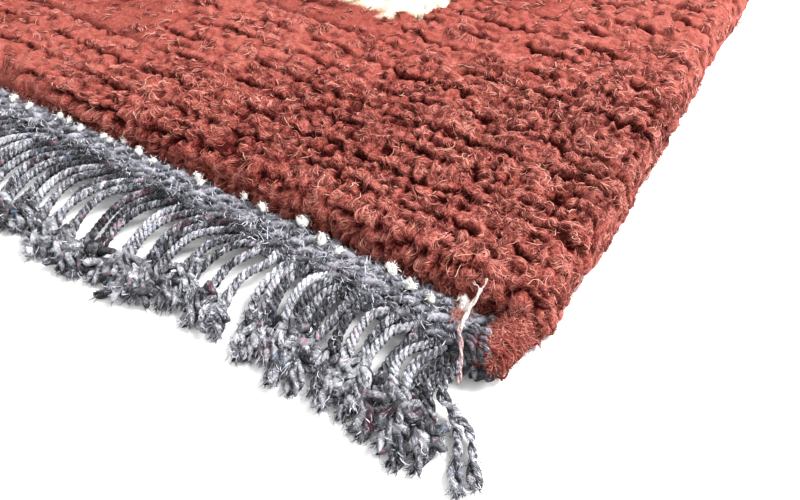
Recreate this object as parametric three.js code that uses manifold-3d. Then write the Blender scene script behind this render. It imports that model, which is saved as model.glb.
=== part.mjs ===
// A small hand-knotted wool rug, lying flat: ribbed pile, two overcast sides, two twined headings and two fringes.
// Millimetres, +Z up. The rug is centred on the origin, rests on z = 0, and its rows of knots run along X.
import * as THREE from "three";
import { mergeVertices } from "three/addons/utils/BufferGeometryUtils.js";
import Module from "manifold-3d";

const wasm = await Module();
wasm.setup();

// Driving dimensions
const ROW_PITCH = 12;
const ROWS = 72;
const PILE_HALF_LENGTH = (ROWS * ROW_PITCH) / 2;
const PILE_HALF_WIDTH = 296.5;
const PILE_HEIGHT = 17;
const GAP = 0.43;

const SELVEDGE_HALF_WIDTH = 297.5;
const SELVEDGE_WIDTH = 11.6;
const SELVEDGE_HEIGHT = 10.1;
const SELVEDGE_END = 449;
const CORE_HALF_WIDTH = SELVEDGE_HALF_WIDTH - SELVEDGE_WIDTH - GAP;
const PILE_LEDGE_HEIGHT = SELVEDGE_HEIGHT + GAP;

const HEADING_DEPTH = 6.8;
const STRIP_DEPTH = 4.8;
const HEADING_HALF_WIDTH = CORE_HALF_WIDTH - 0.2;
const HEADING_INNER = PILE_HALF_LENGTH + GAP;
const STRIP_INNER = HEADING_INNER + HEADING_DEPTH + GAP;
const STRIP_OUTER = STRIP_INNER + STRIP_DEPTH;

const STRANDS = 98;
const STRAND_PITCH = 5.8;
const STRAND_REACH = 35.5;
const STRANDS_IN_A_CLUMP = 5;
const CORNER_DRAWN_IN = 11;

// A row of knots in the pile, along Y from one valley to the next: how far through the row each section lies,
// how high the pile stands there, and how far its side bulges out over the selvedge.
const ROW_SECTIONS = [
  { through: 0.0, height: 12.8, bulge: -1.0 },
  { through: 0.27, height: 17.0, bulge: 0.9 },
  { through: 0.73, height: 16.8, bulge: 1.1 },
];
const PILE_UNEVENNESS = 0.8;
const PILE_RIM_DROP = 2.4;
const TOP_COLUMNS = 8;

// The heading's section, outwards from the pile: share of its depth, and height. Two low ridges of twining.
const HEADING_SECTION = [
  { across: 0.0, height: 6.4 },
  { across: 0.24, height: 7.4 },
  { across: 0.48, height: 6.3 },
  { across: 0.76, height: 7.2 },
  { across: 1.0, height: 5.6 },
];
const HEADING_UNEVENNESS = 0.35;
const HEADING_STATIONS = 24;

// The plaited strip that the strands grow from: share of its depth, and height.
const STRIP_SECTION = [
  { across: 0.0, height: 5.8 },
  { across: 0.28, height: 8.0 },
  { across: 0.72, height: 8.0 },
  { across: 1.0, height: 5.8 },
];

// The selvedge's section, from its inner face outwards: share of its width, and share of its height.
const SELVEDGE_SECTION = [
  { across: 0.0, height: 0.0 },
  { across: 0.9, height: 0.0 },
  { across: 1.0, height: 0.25 },
  { across: 1.0, height: 0.72 },
  { across: 0.74, height: 1.0 },
  { across: 0.16, height: 1.0 },
  { across: 0.0, height: 0.84 },
];
// Its stations near each end, where the corner draws in and the cord then stands clear of the pile: distance from
// the middle of the rug, and the section's share of the full size.
const SELVEDGE_ENDS = [
  { reach: 423.0, tall: 1.0, wide: 1.0 },
  { reach: 428.0, tall: 1.0, wide: 1.0 },
  { reach: 433.0, tall: 1.0, wide: 1.0 },
  { reach: 437.0, tall: 1.15, wide: 1.0 },
  { reach: 441.0, tall: 1.22, wide: 1.0 },
  { reach: 445.0, tall: 1.15, wide: 0.95 },
  { reach: SELVEDGE_END, tall: 0.7, wide: 0.7 },
];
const SELVEDGE_STATION_PITCH = 23.5;

// One strand from its root to its tip: share of the reach, sideways lean, and height of its flat underside.
// It springs off the strip, curves over to the left and down to the floor, and lies level on it.
const STRAND_COURSE = [
  { out: -0.09, lean: 0.0, underside: 3.6 },
  { out: 0.12, lean: -4.4, underside: 5.2 },
  { out: 0.36, lean: -9.0, underside: 4.2 },
  { out: 0.64, lean: -8.6, underside: 0.0 },
  { out: 1.0, lean: -4.6, underside: 0.0 },
];
const CLUMP_SWAY = 2.4;
const CORNER_SWING = { front: 29, back: 8 };
// A strand's three-sided section: sideways, and height above its underside.
const STRAND_SECTION = [
  [-1.6, 0],
  [1.6, 0],
  [0, 3.2],
];

const MATERIALS = {
  pile: new THREE.MeshStandardMaterial({ color: 0xa4574d, roughness: 0.95, metalness: 0 }),
  selvedge: new THREE.MeshStandardMaterial({ color: 0x95483e, roughness: 0.95, metalness: 0 }),
  heading: new THREE.MeshStandardMaterial({ color: 0x7d7a80, roughness: 0.9, metalness: 0 }),
  fringe: new THREE.MeshStandardMaterial({ color: 0x8f8c92, roughness: 0.9, metalness: 0 }),
};

// A repeatable value from -1 to 1 for a whole number and a salt.
function scatter(number, salt) {
  const value = Math.sin(number * 127.1 + salt * 311.7) * 43758.5453;
  return (value - Math.floor(value)) * 2 - 1;
}

function smoothstep(low, high, value) {
  const t = Math.min(1, Math.max(0, (value - low) / (high - low)));
  return t * t * (3 - 2 * t);
}

// Where a point of the true rectangle lies once the rug is off the loom: the sides wander by up to 2 mm and
// the corners draw in.
function laid(x, y) {
  const wander = 1.3 * Math.sin(y / 65 + 0.6) + 0.7 * Math.sin(y / 22 + 2.1);
  const drawnIn = CORNER_DRAWN_IN * smoothstep(424, 456, Math.abs(y));
  return [x * (1 + (wander - drawnIn) / SELVEDGE_HALF_WIDTH), y];
}

// A closed mesh through rings of [x, y, z] points, all with the same count. cap lists the triangles that close
// a ring. The faces are turned to point out, whichever way the rings run.
function skinned(rings, cap) {
  const around = rings[0].length;
  const last = (rings.length - 1) * around;
  const index = [];
  for (let start = 0; start < last; start += around) {
    for (let p = 0; p < around; p += 1) {
      const q = (p + 1) % around;
      index.push(start + p, start + around + p, start + q);
      index.push(start + q, start + around + p, start + around + q);
    }
  }
  for (const [i, j, k] of cap) {
    index.push(i, j, k);
    index.push(last + i, last + k, last + j);
  }
  const points = rings.flat().map((point) => new THREE.Vector3(...point));
  let volume = 0;
  for (let t = 0; t < index.length; t += 3) {
    const [a, b, c] = [points[index[t]], points[index[t + 1]], points[index[t + 2]]];
    volume += a.dot(b.clone().cross(c));
  }
  const geometry = new THREE.BufferGeometry();
  geometry.setAttribute("position", new THREE.Float32BufferAttribute(rings.flat(2), 3));
  geometry.setIndex(volume > 0 ? index : index.reverse());
  return geometry;
}

// A section carried along stations. outline(station) gives its [across, height] points anticlockwise, and
// place(across, station) gives their place on the loom, which laid() then moves.
function carried(stations, outline, place) {
  const rings = stations.map((station) =>
    outline(station).map(([across, height]) => [...laid(...place(across, station)), height]),
  );
  const face = outline(stations[0]).map(([across, height]) => new THREE.Vector2(across, height));
  return skinned(rings, THREE.ShapeUtils.triangulateShape(face, []));
}

function solidOf(geometry) {
  const bare = mergeVertices(geometry);
  return new wasm.Manifold(
    new wasm.Mesh({
      numProp: 3,
      vertProperties: bare.attributes.position.array,
      triVerts: new Uint32Array(bare.index.array),
    }),
  );
}

function geometryOf(solid) {
  const mesh = solid.getMesh();
  const geometry = new THREE.BufferGeometry();
  geometry.setAttribute("position", new THREE.BufferAttribute(mesh.vertProperties, 3));
  geometry.setIndex(new THREE.BufferAttribute(mesh.triVerts, 1));
  return geometry;
}

// Pile and the woven ground under it: one solid. Its top is ribbed by the rows, and its sides lean out over
// the selvedges on a ledge.
function pileGeometry() {
  const stations = [];
  for (let row = 0; row < ROWS; row += 1) {
    for (const section of ROW_SECTIONS) {
      stations.push({ row, ...section, y: -PILE_HALF_LENGTH + (row + section.through) * ROW_PITCH });
    }
  }
  stations.push({ row: ROWS, ...ROW_SECTIONS[0], y: PILE_HALF_LENGTH });
  const outline = (station) => {
    const rim = PILE_HALF_WIDTH + station.bulge;
    const points = [
      [-CORE_HALF_WIDTH, 0],
      [CORE_HALF_WIDTH, 0],
      [CORE_HALF_WIDTH, PILE_LEDGE_HEIGHT],
      [rim, PILE_LEDGE_HEIGHT],
    ];
    for (let column = TOP_COLUMNS; column >= 0; column -= 1) {
      const onRim = column === 0 || column === TOP_COLUMNS;
      const across = (column / TOP_COLUMNS) * 2 - 1;
      const unevenness = PILE_UNEVENNESS * scatter(station.row * (TOP_COLUMNS + 1) + column, 1);
      const height = station.height - (onRim ? PILE_RIM_DROP : 0) * (station.height / PILE_HEIGHT);
      points.push([across * (rim - 0.6), Math.min(PILE_HEIGHT, height + unevenness * 0.5)]);
    }
    points.push([-rim, PILE_LEDGE_HEIGHT], [-CORE_HALF_WIDTH, PILE_LEDGE_HEIGHT]);
    return points;
  };
  return carried(stations, outline, (across, station) => [across, station.y]);
}

// An overcast cord of bundled warps along one side, wrapped in the pile's wool. side is 1 on the right.
function selvedgeGeometry(side) {
  const long = SELVEDGE_ENDS[0].reach;
  const steps = Math.round((2 * long) / SELVEDGE_STATION_PITCH);
  const stations = SELVEDGE_ENDS.map((end) => ({ ...end, y: -end.reach })).reverse();
  for (let step = 1; step < steps; step += 1) {
    stations.push({ y: -long + (2 * long * step) / steps, tall: 1, wide: 1 });
  }
  stations.push(...SELVEDGE_ENDS.map((end) => ({ ...end, y: end.reach })));
  const inner = SELVEDGE_HALF_WIDTH - SELVEDGE_WIDTH;
  const outline = (station) =>
    SELVEDGE_SECTION.map(({ across, height }) => [
      inner + across * SELVEDGE_WIDTH * station.wide,
      height * SELVEDGE_HEIGHT * station.tall,
    ]);
  return carried(stations, outline, (across, station) => [side * across, station.y]);
}

// A flat-bottomed band along one end: its section's table, where it starts, and its depth. end is -1 at the front.
function bandGeometry(end, table, inner, depth, unevenness) {
  const stations = Array.from({ length: HEADING_STATIONS + 1 }, (_, step) => step);
  const outline = (step) => {
    const top = table.map(({ across, height }, ridge) => [
      inner + across * depth,
      height + unevenness * scatter(step * table.length + ridge, 2 + end),
    ]);
    return [[inner, 0], [inner + depth, 0], ...top.reverse()];
  };
  const place = (across, step) => [HEADING_HALF_WIDTH * ((2 * step) / HEADING_STATIONS - 1), end * across];
  return carried(stations, outline, place);
}

// One warp end of the fringe. Its neighbours in a clump draw together at the tips. The first few are held up by
// the selvedge and lean less, and the last few swing outwards round the right-hand corner.
function strandGeometry(end, strand) {
  const root = (strand - (STRANDS - 1) / 2) * STRAND_PITCH;
  const place = (strand % STRANDS_IN_A_CLUMP) - (STRANDS_IN_A_CLUMP - 1) / 2;
  const salt = end < 0 ? 10 : 20;
  const reach = STRAND_REACH * (1 + 0.09 * scatter(strand, salt));
  const sway = CLUMP_SWAY * scatter(Math.floor(strand / STRANDS_IN_A_CLUMP), salt + 2);
  const swing = CORNER_SWING[end < 0 ? "front" : "back"] * smoothstep(STRANDS - 7, STRANDS - 1.5, strand);
  const leaning = smoothstep(-2, 5, strand);
  const rings = STRAND_COURSE.map(({ out, lean, underside }) => {
    const loose = Math.max(0, out);
    const drawn = -0.2 * STRAND_PITCH * place * loose;
    const stray = 0.35 * scatter(strand, salt + 1) * loose;
    const x = root + lean * leaning + drawn + stray + sway * Math.min(1, 2 * loose) + swing * loose;
    const y = end * (STRIP_OUTER + out * reach);
    return STRAND_SECTION.map(([aside, above]) => [...laid(x + aside, y), underside + above]);
  });
  return skinned(rings, [[0, 1, 2]]);
}

function fringeGeometry(end) {
  let solid = solidOf(bandGeometry(end, STRIP_SECTION, STRIP_INNER, STRIP_DEPTH, 0));
  for (let strand = 0; strand < STRANDS; strand += 1) {
    solid = solid.add(solidOf(strandGeometry(end, strand)));
  }
  return geometryOf(solid);
}

const rug = new THREE.Group();

function place(name, geometry, material) {
  const mesh = new THREE.Mesh(geometry, material);
  mesh.name = name;
  rug.add(mesh);
}

place("pile", pileGeometry(), MATERIALS.pile);
place("selvedge_left", selvedgeGeometry(-1), MATERIALS.selvedge);
place("selvedge_right", selvedgeGeometry(1), MATERIALS.selvedge);
for (const [name, end] of [["front", -1], ["back", 1]]) {
  const heading = bandGeometry(end, HEADING_SECTION, HEADING_INNER, HEADING_DEPTH, HEADING_UNEVENNESS);
  place(`heading_${name}`, heading, MATERIALS.heading);
  place(`fringe_${name}`, fringeGeometry(end), MATERIALS.fringe);
}

export default rug;
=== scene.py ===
import itertools
import math

import bpy
import numpy as np
from mathutils import Matrix


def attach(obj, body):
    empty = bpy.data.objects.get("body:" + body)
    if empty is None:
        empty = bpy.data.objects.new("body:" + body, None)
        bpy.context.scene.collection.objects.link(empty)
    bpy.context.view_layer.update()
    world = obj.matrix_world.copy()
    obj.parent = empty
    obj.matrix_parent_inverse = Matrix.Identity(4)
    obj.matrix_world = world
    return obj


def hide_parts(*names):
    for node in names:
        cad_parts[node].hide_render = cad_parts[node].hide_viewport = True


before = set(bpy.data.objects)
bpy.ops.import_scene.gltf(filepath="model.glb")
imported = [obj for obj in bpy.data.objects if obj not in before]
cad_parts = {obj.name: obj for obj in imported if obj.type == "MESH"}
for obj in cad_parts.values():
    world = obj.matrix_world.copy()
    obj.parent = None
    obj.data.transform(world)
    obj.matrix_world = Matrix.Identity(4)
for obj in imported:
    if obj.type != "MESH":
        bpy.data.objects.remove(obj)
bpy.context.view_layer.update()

# The ground: warps and wefts beaten close, a thin flat cloth that carries every knot of the pile. It is
# woven on an upright loom, and is the sheet that the rest of the rug is knotted, wrapped or twined onto.
MM = 0.001
PILE_HALF_LENGTH = 432.0
GROUND_HALF_WIDTH, GROUND_HEIGHT = 285.2, 3.0
RUG_HALF_WIDTH = 297.5
WEAVE_PITCH = 2.9
GROUND_RED, GROUND_DARK = (122, 52, 44), (70, 30, 27)
# How far the sides draw in at the ends, and the photographed side along its run, at its corner and at its
# tip.
END_DRAWN_IN, RUN_DRAWN_IN, CORNER_DRAWN_IN, TIP_DRAWN_IN = 11.0, 1.2, 3.5, 2.0
SIDE_BULGE = 3.6


def dyed(red, green, blue):
    """A colour as the dyer's card shows it, 0 to 255, turned into light: the sRGB curve undone."""
    card = np.array([red, green, blue]) / 255
    light = np.where(card <= 0.04045, card / 12.92, ((card + 0.055) / 1.055) ** 2.4)
    return (*light.tolist(), 1.0)


def eased(low, high, value):
    """A smooth step: 0 below low, 1 above high, and 3f^2 - 2f^3 of the share f between."""
    share = np.clip((value - low) / (high - low), 0, 1)
    return share * share * (3 - 2 * share)


def laid(x, y):
    """Where a point of the true rectangle lies off the loom. x is scaled at each y, so that the sides
    wander on two sine waves along the length and draw in on a smooth step towards each end. The
    photographed side draws in on smooth steps of its own, and bulges on another where it leaves the
    photograph."""
    wander = 1.3 * np.sin(y / 65 + 0.6) + 0.7 * np.sin(y / 22 + 2.1)
    drawn_in = END_DRAWN_IN * eased(424, 456, np.abs(y))
    photographed = eased(200, 280, x) * (y < 0)
    run = eased(150, 200, -y)
    drawn_there = RUN_DRAWN_IN * run + CORNER_DRAWN_IN * eased(374, 414, -y)
    drawn_there = drawn_there + TIP_DRAWN_IN * eased(430, 444, -y)
    bulge_there = SIDE_BULGE * (1 - eased(226, 264, -y)) * run
    drawn_in = drawn_in + photographed * (drawn_there - bulge_there - drawn_in)
    return x * (1 + (wander - drawn_in) / RUG_HALF_WIDTH)


def grid_faces(rows, columns, around=False):
    """Quads between neighbouring points of a grid, row by row. With around, the last column joins the
    first."""
    point = np.arange(rows * columns).reshape(rows, columns)
    beside = np.roll(point, -1, 1)
    if not around:
        point, beside = point[:, :-1], beside[:, :-1]
    return np.stack([point[:-1], beside[:-1], beside[1:], point[1:]], -1).reshape(-1, 4)


def slab(top, bottom):
    """A closed slab: a grid of top points (rows, columns, 3), its rim dropped straight down to the height
    bottom, and one flat face below. Gives the points, the faces, and which top point each rim point hangs
    from."""
    rows, columns = top.shape[:2]
    number = np.arange(rows * columns).reshape(rows, columns)
    rim = np.concatenate([number[0, :-1], number[:-1, -1], number[-1, :0:-1], number[:0:-1, 0]])
    points = top.reshape(-1, 3)
    under = points[rim] * (1, 1, 0) + (0, 0, bottom)
    low = np.arange(len(rim)) + len(points)
    walls = np.stack([rim, low, np.roll(low, -1), np.roll(rim, -1)], -1)
    return np.concatenate([points, under]), [grid_faces(rows, columns), walls, low[None, ::-1]], rim


def sewn(name, points, faces, finish, slot, *nodes, **marks):
    """One piece from points in mm and arrays of faces, each (faces, corners). marks are values kept on its
    points, for the finish to read. It rides on the rug's one body and stands for the named CAD nodes."""
    mesh = bpy.data.meshes.new(name)
    corners = np.concatenate([group.ravel() for group in faces]).astype(np.int32)
    sizes = np.concatenate([np.full(len(group), group.shape[1]) for group in faces])
    mesh.vertices.add(len(points))
    mesh.vertices.foreach_set("co", (points * MM).astype(np.float32).ravel())
    mesh.loops.add(len(corners))
    mesh.loops.foreach_set("vertex_index", corners)
    mesh.polygons.add(len(sizes))
    mesh.polygons.foreach_set("loop_start", np.r_[0, np.cumsum(sizes)[:-1]].astype(np.int32))
    for mark, values in marks.items():
        kind, key = ("FLOAT_VECTOR", "vector") if values.ndim == 2 else ("FLOAT", "value")
        kept = mesh.attributes.new(mark, kind, "POINT")
        kept.data.foreach_set(key, values.astype(np.float32).ravel())
    mesh.update(calc_edges=True)
    mesh.shade_smooth()
    mesh.materials.append(finish.material)
    piece = bpy.data.objects.new(name, mesh)
    bpy.context.scene.collection.objects.link(piece)
    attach(piece, "root")
    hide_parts(*nodes)
    return piece


class Thread:
    """One socket of a finish. Sums with it add Math nodes, so that a pattern reads as plain arithmetic."""

    def __init__(self, finish, socket):
        self.finish, self.socket = finish, socket

    def __add__(self, other):
        return self.finish.worked("ADD", self, other)

    def __sub__(self, other):
        return self.finish.worked("SUBTRACT", self, other)

    def __rsub__(self, other):
        return self.finish.worked("SUBTRACT", other, self)

    def __mul__(self, other):
        return self.finish.worked("MULTIPLY", self, other)

    __radd__, __rmul__ = __add__, __mul__

    def kept(self):
        """The value held between 0 and 1."""
        return self.finish.worked("MINIMUM", self.finish.worked("MAXIMUM", self, 0.0), 1.0)


class Finish:
    """A material of dyed yarn or wool, made of nodes round one shader."""

    def __init__(self, name, roughness, sheen=0.0, sheen_tint=(1, 1, 1, 1)):
        self.material = bpy.data.materials.new(name)
        self.material.use_nodes = True
        self.tree = self.material.node_tree
        self.shader = self.tree.nodes["Principled BSDF"]
        self.shader.inputs["Roughness"].default_value = roughness
        self.shader.inputs["Specular IOR Level"].default_value = 0.12
        self.shader.inputs["Sheen Weight"].default_value = sheen
        self.shader.inputs["Sheen Roughness"].default_value = 0.4
        self.shader.inputs["Sheen Tint"].default_value = sheen_tint

    def set_or_linked(self, socket, value):
        """Links a thread to a socket, or sets the socket's own value."""
        if isinstance(value, Thread):
            self.tree.links.new(value.socket, socket)
        else:
            socket.default_value = value

    def node(self, kind, settings, sockets, output=0):
        """Adds a node: its settings first, then the values or threads of its sockets."""
        made = self.tree.nodes.new(kind)
        for key, value in settings.items():
            setattr(made, key, value)
        for key, value in sockets.items():
            self.set_or_linked(made.inputs[key], value)
        return Thread(self, made.outputs[output])

    def worked(self, operation, *values):
        """A Math node's result."""
        return self.node("ShaderNodeMath", {"operation": operation}, dict(enumerate(values)))

    def place(self, stretch=(1, 1, 1)):
        """The piece's own coordinates in metres, scaled along each axis."""
        at = self.node("ShaderNodeTexCoord", {}, {}, "Object")
        return self.node("ShaderNodeMapping", {"vector_type": "POINT"}, {"Vector": at, "Scale": stretch})

    def mark(self, name, output="Fac"):
        """A value kept on the piece's points."""
        return self.node("ShaderNodeAttribute", {"attribute_name": name}, {}, output)

    def noise(self, vector, scale, detail=2.0, rough=0.5):
        """A smooth random value round a half, so many times a metre."""
        sockets = {"Vector": vector, "Scale": scale, "Detail": detail, "Roughness": rough}
        return self.node("ShaderNodeTexNoise", {"noise_dimensions": "3D"}, sockets)

    def between(self, value, low, high):
        """0 below low, 1 above high, and straight between."""
        sockets = {"Value": value, "From Min": low, "From Max": high}
        return self.node("ShaderNodeMapRange", {"clamp": True}, sockets)

    def mixed(self, share, first, second):
        """The first colour at a share of 0, the second at 1. The node's sockets for colours are its inputs
        6 and 7 and its output 2."""
        settings = {"data_type": "RGBA", "blend_type": "MIX"}
        return self.node("ShaderNodeMix", settings, {0: share, 6: first, 7: second}, 2)

    def done(self, colour, height=None, depth=0.001):
        """Ends the nodes in the shader: a colour, and a height that a bump raises by depth metres."""
        self.set_or_linked(self.shader.inputs["Base Color"], colour)
        if height is not None:
            bump = self.node("ShaderNodeBump", {}, {"Height": height, "Distance": depth, "Strength": 1.0})
            self.set_or_linked(self.shader.inputs["Normal"], bump)
        return self


def ground_finish():
    """Plain weave: the product of two sine waves at the weave's pitch lifts each crossing."""
    finish = Finish("ground_weave", 0.95)
    ways = finish.node("ShaderNodeSeparateXYZ", {}, {0: finish.place()}).socket.node.outputs
    turns = 2 * math.pi / (WEAVE_PITCH * MM)
    along, across = (finish.worked("SINE", Thread(finish, ways[axis]) * turns) for axis in (0, 1))
    lift = along * across * 0.5 + 0.5
    fleck = finish.noise(finish.place(), 900.0)
    colour = finish.mixed(lift * 0.6 + fleck * 0.4, dyed(*GROUND_DARK), dyed(*GROUND_RED))
    return finish.done(colour, lift, 0.0005)


ground_x, ground_y = np.meshgrid(
    np.linspace(-GROUND_HALF_WIDTH, GROUND_HALF_WIDTH, 24),
    np.linspace(-PILE_HALF_LENGTH, PILE_HALF_LENGTH, 120),
)
ground_top = np.stack([laid(ground_x, ground_y), ground_y, np.full_like(ground_x, GROUND_HEIGHT)], -1)
ground_points, ground_quads, _ = slab(ground_top, 0.0)
ground = sewn("ground_cloth", ground_points, ground_quads, ground_finish(), "ground_weave", "pile")

# The pile: rust wool tied round pairs of warps in rows across the rug, and cut, so that each knot stands up
# as a soft tuft. The rows lie in pairs, parted by dark crevices, and a plain cream band frames the middle.
TUFTS, TUFT_ROWS = 152, 144
SKIN_ACROSS, SKIN_ALONG, SKIN_TOP = 304.0, 438.0, 15.0
SIDE_FLAT, SIDE_ROUND = 284.8, 9.6
END_FLAT, END_ROUND = 422.5, 6.5
ROLL_TURN = 1.35
TUFT_PITCH, ROW_PITCH = 4.0, 2 * SKIN_ALONG / TUFT_ROWS
TUFT_HALF_WIDTH, TUFT_HALF_DEPTH = 2.1, 3.1
FAR_OFF = 9.0
BAND_OUTER_X, BAND_OUTER_Y, BAND_WIDTH, BAND_ROUNDING = 190.0, 320.0, 35.0, 10
FRONT_PULLED_BACK = 1.7
RUST = (66, 11, 8), (138, 65, 56), (174, 106, 96)
CREAM = (150, 128, 98), (246, 232, 204), (255, 250, 234)
EYE_X, EYE_Y, EYE_Z = 316.7, -543.2, 163.4
EYE_YAW = math.radians(-31.89)
tuft_random = np.random.default_rng(5)
tuft_shape = (TUFT_ROWS, TUFTS)
tuft_s = (np.arange(TUFTS) + 0.5) * TUFT_PITCH - SKIN_ACROSS + tuft_random.normal(0, 0.85, tuft_shape)
row_t = ((np.arange(TUFT_ROWS) + 0.5) * ROW_PITCH - SKIN_ALONG)[:, None]
tuft_t = row_t + tuft_random.normal(0, 0.75, tuft_shape)
tuft_rise = tuft_random.normal(0, 0.5, tuft_shape)
tuft_tone = tuft_random.normal(0, 1, tuft_shape)
inset_s, inset_t = BAND_OUTER_X - np.abs(tuft_s), BAND_OUTER_Y - np.abs(tuft_t)
inset = np.minimum(inset_s, inset_t)
tuft_cream = ((inset > 0) & (inset < BAND_WIDTH) & (inset_s + inset_t > BAND_ROUNDING)).astype(float)


def painted_nap_shade(s, t):
    """Painted shade on the nap: how much darker it is made over a slanting band in front, between two smooth
    steps across."""
    across = s - 0.35 * (t + PILE_HALF_LENGTH)
    return 0.07 * eased(115, 170, across) * (1 - eased(175, 220, across))


def seen_near(s, t):
    """1 where the wool is seen near to, falling to 0 on a smooth step of the distance along the line of
    sight."""
    depth = (s - EYE_X) * math.sin(EYE_YAW) + (t - EYE_Y) * math.cos(EYE_YAW)
    return 1 - eased(185, 245, depth)


def drift(s, t, wavelength, seed):
    """A smooth random value from -1 to 1: random numbers on a square lattice of that wavelength, blended
    between neighbours by 3f^2 - 2f^3 of the share f of the way."""
    lattice = np.random.default_rng(seed).uniform(-1, 1, (128, 128))
    a, b = s / wavelength + 64, t / wavelength + 64
    i, j = np.floor(a).astype(int), np.floor(b).astype(int)
    f, g = eased(0, 1, a - i), eased(0, 1, b - j)
    i, j, i_next, j_next = i % 128, j % 128, (i + 1) % 128, (j + 1) % 128
    near = lattice[i, j] * (1 - f) + lattice[i_next, j] * f
    far = lattice[i, j_next] * (1 - f) + lattice[i_next, j_next] * f
    return near * (1 - g) + far * g


def rolled(reach, flat, radius):
    """A run that is level for the length flat, then turns down on a round of that radius through ROLL_TURN
    radians and goes on straight. Gives how far out the end of that reach lies, and how far down."""
    turn = np.clip((np.abs(reach) - flat) / radius, 0, ROLL_TURN)
    beyond = np.maximum(np.abs(reach) - flat - ROLL_TURN * radius, 0)
    out = np.minimum(np.abs(reach), flat) + radius * np.sin(turn) + beyond * math.cos(ROLL_TURN)
    return np.sign(reach) * out, radius * (1 - np.cos(turn)) + beyond * math.sin(ROLL_TURN)


def skin(s, t):
    """The pile's skin before the tufts raise it, from its reach s across and t along: level on top and
    rolled down at the sides and ends, the two drops d and e joined at a corner as the cube root of d^3 +
    e^3."""
    x, side_drop = rolled(s, SIDE_FLAT, SIDE_ROUND)
    y, end_drop = rolled(t, END_FLAT, END_ROUND)
    return np.stack([x, y, SKIN_TOP - np.cbrt(side_drop**3 + end_drop**3)], -1)


def tufted(s, t):
    """How the tufts raise the skin. Each point has a distance to every tuft near it, in tuft widths. It
    rises with the nearest tufts' heights, falls off round each as the square of the distance, and sinks in
    crevices that fall off exponentially from where two tufts are equally near: deep between pairs of rows,
    shallow within a pair and within a row. Each row is measured as the share f along it plus 0.5 f (1 - f),
    so that it is steep in front and slopes off behind."""
    s_bent = s + 1.4 * drift(s, t, 13, 1) + 0.7 * drift(s, t, 3.6, 2)
    t_bent = t + 2.0 * drift(s, t, 26, 3) + 0.8 * drift(s, t, 4.4, 4)
    along = (t_bent + SKIN_ALONG) / ROW_PITCH
    row = np.floor(along).astype(int)
    share = along - row
    t_bent = (along + 0.5 * share * (1 - share)) * ROW_PITCH - SKIN_ALONG
    column = np.floor((s_bent + SKIN_ACROSS) / TUFT_PITCH).astype(int)
    steps = np.array(list(itertools.product((-1, 0, 1), (-2, -1, 0, 1, 2))))
    down, over = steps.T.reshape(2, -1, *[1] * s.ndim)
    rows, columns = np.clip(row + down, 0, TUFT_ROWS - 1), np.clip(column + over, 0, TUFTS - 1)
    away_s = (s_bent - tuft_s[rows, columns]) / TUFT_HALF_WIDTH
    away_t = (t_bent - tuft_t[rows, columns]) / TUFT_HALF_DEPTH
    real = (rows == row + down) & (columns == column + over)
    far = np.where(real, np.hypot(away_s, away_t), FAR_OFF)
    first = far.argmin(0)[None]
    nearest, own_row = np.take_along_axis(far, first, 0)[0], np.take_along_axis(rows, first, 0)
    same_row = rows == own_row
    others = far + FAR_OFF * (np.arange(len(far)).reshape(-1, *[1] * s.ndim) == first)
    beside = np.where(same_row, others, FAR_OFF).min(0) - nearest
    apart_rows = np.where(same_row, FAR_OFF, others)
    next_row = apart_rows.min(0) - nearest
    other_row = np.take_along_axis(rows, apart_rows.argmin(0)[None], 0)
    between_pairs = np.where(np.maximum(own_row, other_row)[0] % 2 == 0, 1.0, 0.35)
    weight = np.exp(-5 * far)
    near = seen_near(s, t)
    blended = (weight * tuft_rise[rows, columns]).sum(0) / weight.sum(0) + 0.6 * drift(s, t, 34, 5)
    deep = np.clip(2.2 + 2.8 * drift(s, t, 9, 6), 0.8, 3.8) * (0.75 + 0.25 * near) * between_pairs
    row_crevice = deep * np.exp(-next_row / 0.36)
    shallow = np.clip(0.6 + 2.2 * drift(s, t, 5, 7), 0.0, 2.0) * (0.35 + 0.6 * near)
    tuft_crevice = shallow * np.exp(-beside / 0.4)
    pocket = (0.4 + 1.4 * near) * eased(0.4, 0.8, drift(s, t, 2.8, 12))
    rough = 0.3 * drift(s, t, 4.3, 10) + (0.3 + 0.2 * near) * drift(s, t, 2.1, 8) + 0.25 * drift(s, t, 1.3, 9)
    dome = (0.25 + 0.3 * near) * nearest**2
    height = blended - dome - row_crevice - tuft_crevice + rough - pocket + 1.6
    # Painted shade: the crevices and pockets are darkened in colour by how deep they are.
    hollow = np.clip((row_crevice + tuft_crevice + pocket) / 2.3 - 0.15, 0, 1)
    tone, cream = (np.take_along_axis(kept[rows, columns], first, 0)[0] for kept in (tuft_tone, tuft_cream))
    return height, hollow, tone, cream


def pile_points(s, t):
    """Points of the tufted pile: the skin, moved along its own normal by the tufts' height, less so where
    it rolls over the edge. Each tuft's head is pushed a little towards the front end, where the pile lies,
    and the front itself is pulled back over one stretch, between smooth steps. Gives the normals and marks
    as well."""
    step = 0.4
    base = skin(s, t)
    normal = np.cross(skin(s + step, t) - skin(s - step, t), skin(s, t + step) - skin(s, t - step))
    normal /= np.linalg.norm(normal, axis=-1, keepdims=True)
    height, hollow, tone, cream = tufted(s, t)
    over_edge = eased(0.5, 7, SKIN_TOP - base[..., 2]) * (t > -415)
    height *= 1 - 0.5 * over_edge
    hollow *= 1 - 0.5 * over_edge
    points = base + normal * height[..., None]
    pulled = FRONT_PULLED_BACK * eased(136, 160, s) * (1 - eased(226, 256, s)) * eased(400, 425, -t)
    points[..., 1] += pulled - 0.4 * height
    points[..., 0] = laid(points[..., 0], points[..., 1])
    points[..., 2] = np.maximum(points[..., 2], 1.0)
    # Painted shade: a slanting band of the nap in front is darkened as well.
    hollow = np.minimum(hollow + painted_nap_shade(s, t), 1)
    return points, normal, hollow, tone, cream, seen_near(s, t)


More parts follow.
